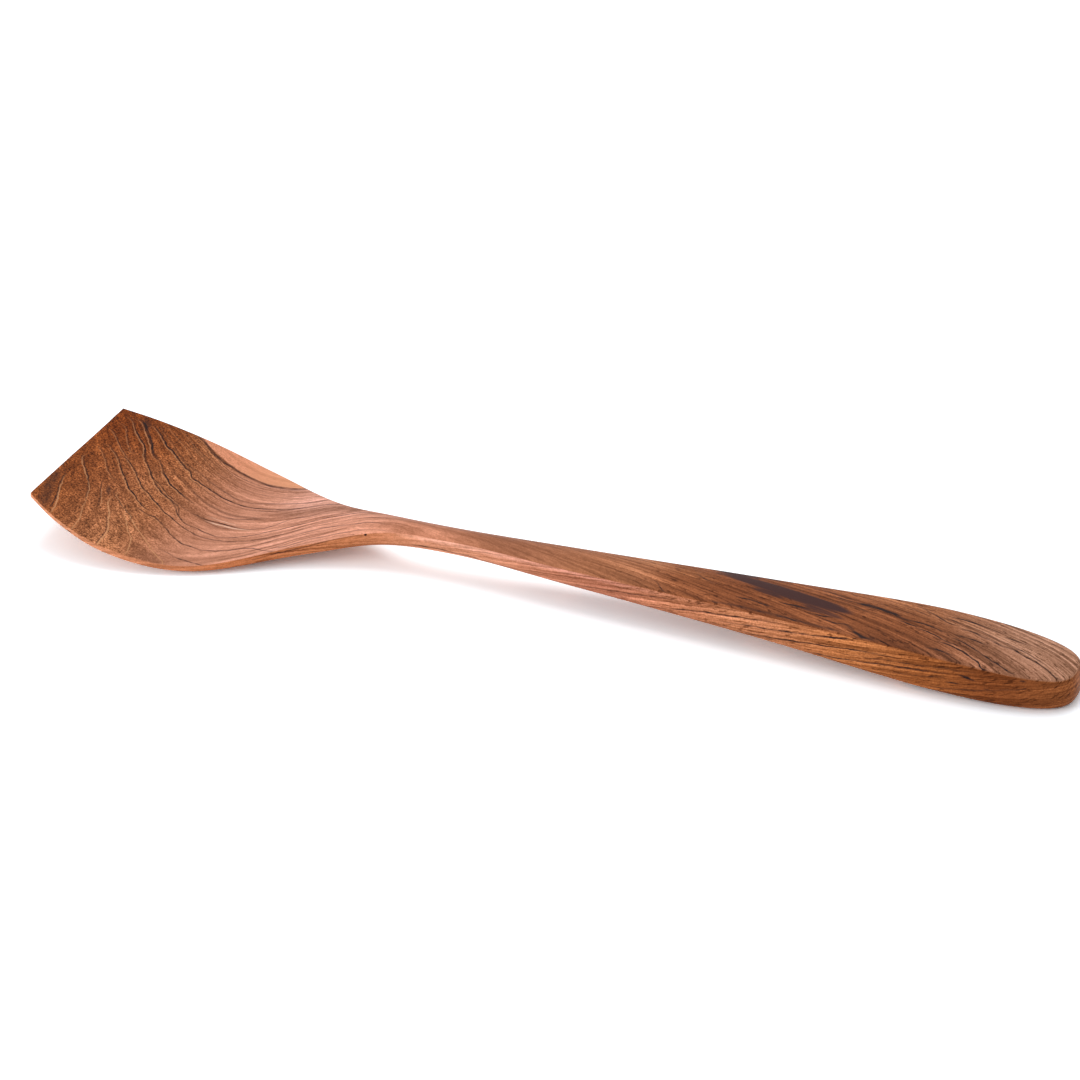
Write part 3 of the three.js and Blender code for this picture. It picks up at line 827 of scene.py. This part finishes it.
def handle_marks(g, wood):
    """The layers of marks on the handle: how strong each is, and its colour."""
    dark, _ = line_sum(g, wood.wavy_x, wood.wavy_y, HANDLE_LINES, HANDLE_SPAN)
    dark = g.add(dark, streak_sum(g, wood.x, wood.ring, HANDLE_STREAKS))
    side_dark, _ = line_sum(g, wood.wavy_x, wood.height, SIDE_LINES, HANDLE_SPAN)
    side_dark = g.add(side_dark, streak_sum(g, wood.x, wood.height, SIDE_STREAKS))
    dark = g.mul(g.mul(dark, wood.top), HANDLE_LINE_STRENGTH)
    dark = g.math("MULTIPLY_ADD", side_dark, wood.near_side, dark)
    ragged = g.math("MULTIPLY_ADD", wood.hairs, PATCH_RAGGED, wood.ring)
    patch = streak_sum(g, wood.x, ragged, PATCH_STREAKS, PATCH_CORE)
    return [
        (g.math("MULTIPLY", patch, wood.top, clamp=True), PATCH_COLOUR),
        (g.math("MULTIPLY", dark, wood.broken, clamp=True), STREAK_COLOUR),
    ]


def wood_tone(g, wood, plain):
    """What the grain's lines, flecks and pores multiply the colour by."""
    front = g.mul(g.remap(wood.x, *FRONT_X, smooth=True), wood.top)
    belly = g.mul(g.remap(wood.x, *BELLY_X), g.remap(wood.x, *BELLY_END_X, 1.0, 0.0))
    handle = g.remap(wood.x, *HANDLE_X, smooth=True)
    places = {
        "front": front,
        "belly": belly,
        "handle": handle,
        "handle_top": g.mul(handle, wood.top),
        "handle_side": g.mul(g.remap(wood.x, *HANDLE_SIDE_X, smooth=True), wood.side),
    }
    tone = 1.0
    for noise, limits, changes, strength, added in TONES:
        for place, share in added.items():
            strength = g.math("MULTIPLY_ADD", places[place], share, strength)
        change = g.remap(getattr(wood, noise), *limits, *changes)
        tone = g.mul(tone, g.math("MULTIPLY_ADD", change, g.mul(strength, plain), 1.0))
    return tone


def wood_material(name, colour_of, marks_of):
    """The wood of the blade or of the handle, with that part's own colour and marks."""
    material = bpy.data.materials.new(name)
    material.use_nodes = True
    tree = material.node_tree
    tree.nodes.clear()
    g = Graph(tree)
    wood = wood_grain(g)
    layers = marks_of(g, wood)
    colour, plain = colour_of(g, wood)
    tone = wood_tone(g, wood, plain)
    tones = [tone, g.math("POWER", tone, TONE_POWER_GREEN), g.math("POWER", tone, TONE_POWER_BLUE)]
    colour = g.mix(1.0, colour, g.vector(*tones), blend="MULTIPLY")
    for share, mark in layers:
        colour = g.mix(share, colour, mark)

    relief = g.add(g.mul(wood.flecks, FLECK_RELIEF), g.mul(wood.fine, FINE_RELIEF))
    relief = g.add(relief, g.mul(wood.pore, PORE_RELIEF))
    bump = g.node("ShaderNodeBump")
    bump.inputs["Strength"].default_value = BUMP_STRENGTH
    bump.inputs["Distance"].default_value = BUMP_DEPTH * MM
    g.put(bump.inputs["Height"], relief)

    shader = g.node("ShaderNodeBsdfPrincipled")
    g.put(shader.inputs["Base Color"], colour)
    shader.inputs["Roughness"].default_value = ROUGHNESS
    shader.inputs["Specular IOR Level"].default_value = SPECULAR
    g.put(shader.inputs["Normal"], bump.outputs["Normal"])
    out = g.node("ShaderNodeOutputMaterial")
    g.put(out.inputs["Surface"], shader.outputs[0])
    return material


def build_spatula():
    """The spatula: the CAD node's own surface, smoothed."""
    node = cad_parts["spatula_body"]
    mesh = wood_mesh(node)
    # two materials, because all the lines are too many for one
    mesh.materials.append(wood_material("blade_wood", blade_colour, blade_marks))
    mesh.materials.append(wood_material("handle_wood", handle_colour, handle_marks))
    for face in mesh.polygons:
        face.material_index = 0 if face.center.x < BLADE_END * MM else 1
    piece = bpy.data.objects.new("spatula", mesh)
    bpy.context.scene.collection.objects.link(piece)
    smooth = piece.modifiers.new("smooth", "SUBSURF")
    smooth.levels = SUBDIVISIONS
    smooth.render_levels = SUBDIVISIONS
    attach(piece, "root")
    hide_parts("spatula_body")


def seen_rays(g):
    """1 for rays from the camera and for reflected and refracted ones, 0 for other light."""
    path = g.node("ShaderNodeLightPath")
    shiny = g.math("MAXIMUM", path.outputs["Is Glossy Ray"], path.outputs["Is Transmission Ray"])
    return g.math("MAXIMUM", path.outputs["Is Camera Ray"], shiny)


def build_table():
    """A white table that goes to pure white in the picture and keeps the soft shadow."""
    mesh = bpy.data.meshes.new("table")
    far = TABLE_HALF_WIDTH
    corners = [(-far, -far, 0), (far, -far, 0), (far, far, 0), (-far, far, 0)]
    mesh.from_pydata(corners, [], [(0, 1, 2, 3)])
    table = bpy.data.objects.new("table", mesh)
    bpy.context.scene.collection.objects.link(table)
    material = bpy.data.materials.new("white_table")
    material.use_nodes = True
    tree = material.node_tree
    tree.nodes.clear()
    g = Graph(tree)
    seen = seen_rays(g)
    diffuse = g.node("ShaderNodeBsdfDiffuse")
    shades = [g.remap(seen, 0.0, 1.0, TABLE_GREY, shade) for shade in TABLE_SEEN_COLOUR]
    g.put(diffuse.inputs["Color"], g.vector(*shades))
    glow = g.node("ShaderNodeEmission")
    g.put(glow.inputs["Strength"], g.mul(seen, TABLE_GLOW))
    both = g.node("ShaderNodeAddShader")
    g.put(both.inputs[0], diffuse.outputs[0])
    g.put(both.inputs[1], glow.outputs[0])
    out = g.node("ShaderNodeOutputMaterial")
    g.put(out.inputs["Surface"], both.outputs[0])
    mesh.materials.append(material)


def build_lamp(name, place, size, power):
    """A square lamp that shines at the origin."""
    light = bpy.data.objects.new(name, bpy.data.lights.new(name, "AREA"))
    light.data.shape = "SQUARE"
    light.data.size = size
    light.data.energy = power
    light.location = place
    light.rotation_euler = (-Vector(place)).to_track_quat("-Z", "Y").to_euler()
    light.visible_camera = False
    bpy.context.scene.collection.objects.link(light)


def build_room():
    world = bpy.data.worlds.new("white_room")
    bpy.context.scene.world = world
    world.use_nodes = True
    tree = world.node_tree
    tree.nodes.clear()
    g = Graph(tree)
    background = g.node("ShaderNodeBackground")
    background.inputs["Color"].default_value = (1, 1, 1, 1)
    background.inputs["Strength"].default_value = ROOM_LIGHT
    out = g.node("ShaderNodeOutputWorld")
    g.put(out.inputs["Surface"], background.outputs[0])


def build_camera():
    around = math.radians(AZIMUTH)
    up = math.radians(ELEVATION)
    back = Vector((math.sin(around) * math.cos(up), -math.cos(around) * math.cos(up), math.sin(up)))
    camera = bpy.data.objects.new("camera", bpy.data.cameras.new("camera"))
    camera.data.lens = LENS
    camera.data.sensor_width = SENSOR
    camera.data.clip_end = CAMERA_REACH
    camera.location = TARGET + back * DISTANCE
    camera.rotation_euler = (-back).to_track_quat("-Z", "Y").to_euler()
    bpy.context.scene.collection.objects.link(camera)
    bpy.context.scene.camera = camera


build_spatula()
build_table()
for lamp in LAMPS:
    build_lamp(*lamp)
build_room()
build_camera()
bpy.context.scene.view_settings.view_transform = "Standard"
